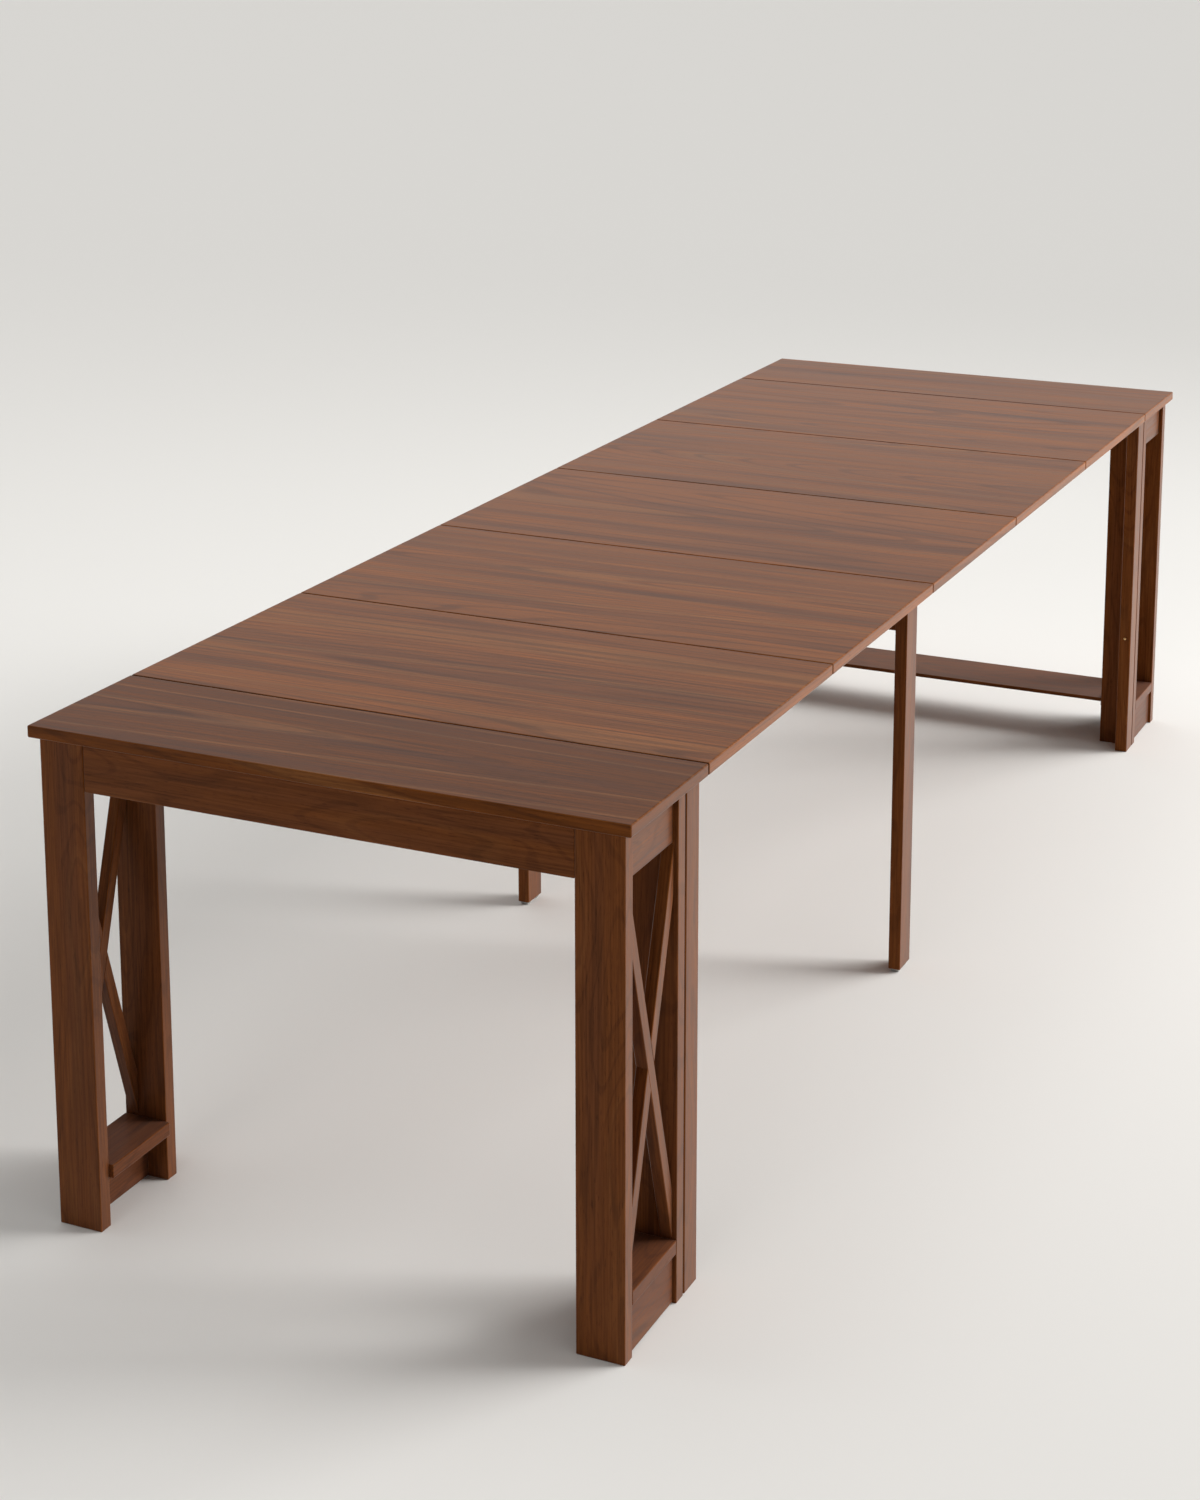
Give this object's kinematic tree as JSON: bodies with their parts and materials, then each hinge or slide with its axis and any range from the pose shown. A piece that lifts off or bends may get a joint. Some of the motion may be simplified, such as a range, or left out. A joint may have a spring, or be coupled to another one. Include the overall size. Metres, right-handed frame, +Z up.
{
  "type": "extending console table",
  "caption": "Long narrow-ended dining table of dark walnut, opened out: flat-board end frames with X braces, loose leaves on telescopic rails and a slim centre support.",
  "frame": {"origin": "on the floor, under the middle of the open table", "axes": "+X along the table from the near (braced) end to the far (shelf) end, +Y to its left side, +Z up"},
  "size_m": [2.966, 0.94, 0.77],
  "materials": {
    "walnut_top": "satin lacquered walnut veneer, grain across the table",
    "walnut_frame": "satin lacquered walnut, grain along each board",
    "extruded_aluminium": "plain extruded",
    "grey_plastic": "moulded"
  },
  "bodies": {
    "near_end": {"near_top": "walnut_top", "near_apron": "walnut_frame", "near_outer_post_left": "walnut_frame", "near_outer_post_right": "walnut_frame", "near_inner_post_left": "walnut_frame", "near_inner_post_right": "walnut_frame", "near_leg_strip_left": "walnut_frame", "near_leg_strip_right": "walnut_frame", "near_side_apron_left": "walnut_frame", "near_side_apron_right": "walnut_frame", "near_foot_board_left": "walnut_frame", "near_foot_board_right": "walnut_frame", "near_kick_block_left": "walnut_frame", "near_kick_block_right": "walnut_frame", "near_brace_falling_left": "walnut_frame", "near_brace_falling_right": "walnut_frame", "near_brace_rising_left": "walnut_frame", "near_brace_rising_right": "walnut_frame", "rail_left_0": "extruded_aluminium", "rail_right_0": "extruded_aluminium"},
    "far_end": {"far_top": "walnut_top", "far_apron": "walnut_frame", "far_outer_post_left": "walnut_frame", "far_outer_post_right": "walnut_frame", "far_inner_post_left": "walnut_frame", "far_inner_post_right": "walnut_frame", "far_leg_strip_left": "walnut_frame", "far_leg_strip_right": "walnut_frame", "far_side_apron_left": "walnut_frame", "far_side_apron_right": "walnut_frame", "far_foot_board_left": "walnut_frame", "far_foot_board_right": "walnut_frame", "far_kick_block_left": "walnut_frame", "far_kick_block_right": "walnut_frame", "far_shelf": "walnut_frame", "rail_left_7": "extruded_aluminium", "rail_right_7": "extruded_aluminium"},
    "rail_stage_1": {"rail_left_1": "extruded_aluminium", "rail_right_1": "extruded_aluminium"},
    "rail_stage_2": {"rail_left_2": "extruded_aluminium", "rail_right_2": "extruded_aluminium"},
    "centre_stage": {"rail_left_3": "extruded_aluminium", "rail_right_3": "extruded_aluminium", "centre_beam": "walnut_frame", "centre_leg_left": "walnut_frame", "centre_leg_right": "walnut_frame", "centre_glide_left": "grey_plastic", "centre_glide_right": "grey_plastic"},
    "rail_stage_4": {"rail_left_4": "extruded_aluminium", "rail_right_4": "extruded_aluminium"},
    "rail_stage_5": {"rail_left_5": "extruded_aluminium", "rail_right_5": "extruded_aluminium"},
    "rail_stage_6": {"rail_left_6": "extruded_aluminium", "rail_right_6": "extruded_aluminium"},
    "leaf_1_body": {"leaf_1": "walnut_top"},
    "leaf_2_body": {"leaf_2": "walnut_top"},
    "leaf_3_body": {"leaf_3": "walnut_top"},
    "leaf_4_body": {"leaf_4": "walnut_top"},
    "leaf_5_body": {"leaf_5": "walnut_top"}
  },
  "joints": [
    {"name": "extension", "type": "slide", "parent": "near_end", "child": "far_end", "axis": [1, 0, 0], "range_m": [0, 0.04]},
    {"name": "stage_1_slide", "type": "slide", "parent": "near_end", "child": "rail_stage_1", "axis": [1, 0, 0], "range_m": [0, 0.04]},
    {"name": "stage_2_slide", "type": "slide", "parent": "near_end", "child": "rail_stage_2", "axis": [1, 0, 0], "range_m": [0, 0.04]},
    {"name": "centre_slide", "type": "slide", "parent": "near_end", "child": "centre_stage", "axis": [1, 0, 0], "range_m": [0, 0.04]},
    {"name": "stage_4_slide", "type": "slide", "parent": "near_end", "child": "rail_stage_4", "axis": [1, 0, 0], "range_m": [0, 0.04]},
    {"name": "stage_5_slide", "type": "slide", "parent": "near_end", "child": "rail_stage_5", "axis": [1, 0, 0], "range_m": [0, 0.04]},
    {"name": "stage_6_slide", "type": "slide", "parent": "near_end", "child": "rail_stage_6", "axis": [1, 0, 0], "range_m": [0, 0.04]},
    {"name": "leaf_1_lift", "type": "slide", "parent": "near_end", "child": "leaf_1_body", "axis": [0, 0, 1], "range_m": [0, 0.3]},
    {"name": "leaf_2_lift", "type": "slide", "parent": "near_end", "child": "leaf_2_body", "axis": [0, 0, 1], "range_m": [0, 0.3]},
    {"name": "leaf_3_lift", "type": "slide", "parent": "near_end", "child": "leaf_3_body", "axis": [0, 0, 1], "range_m": [0, 0.3]},
    {"name": "leaf_4_lift", "type": "slide", "parent": "near_end", "child": "leaf_4_body", "axis": [0, 0, 1], "range_m": [0, 0.3]},
    {"name": "leaf_5_lift", "type": "slide", "parent": "near_end", "child": "leaf_5_body", "axis": [0, 0, 1], "range_m": [0, 0.3]}
  ],
  "couplings": [
    {"joint": "stage_1_slide", "follows": "extension", "ratio": 0.14966},
    {"joint": "stage_2_slide", "follows": "extension", "ratio": 0.29932},
    {"joint": "centre_slide", "follows": "extension", "ratio": 0.44898},
    {"joint": "stage_4_slide", "follows": "extension", "ratio": 0.58674},
    {"joint": "stage_5_slide", "follows": "extension", "ratio": 0.72449},
    {"joint": "stage_6_slide", "follows": "extension", "ratio": 0.86225}
  ]
}
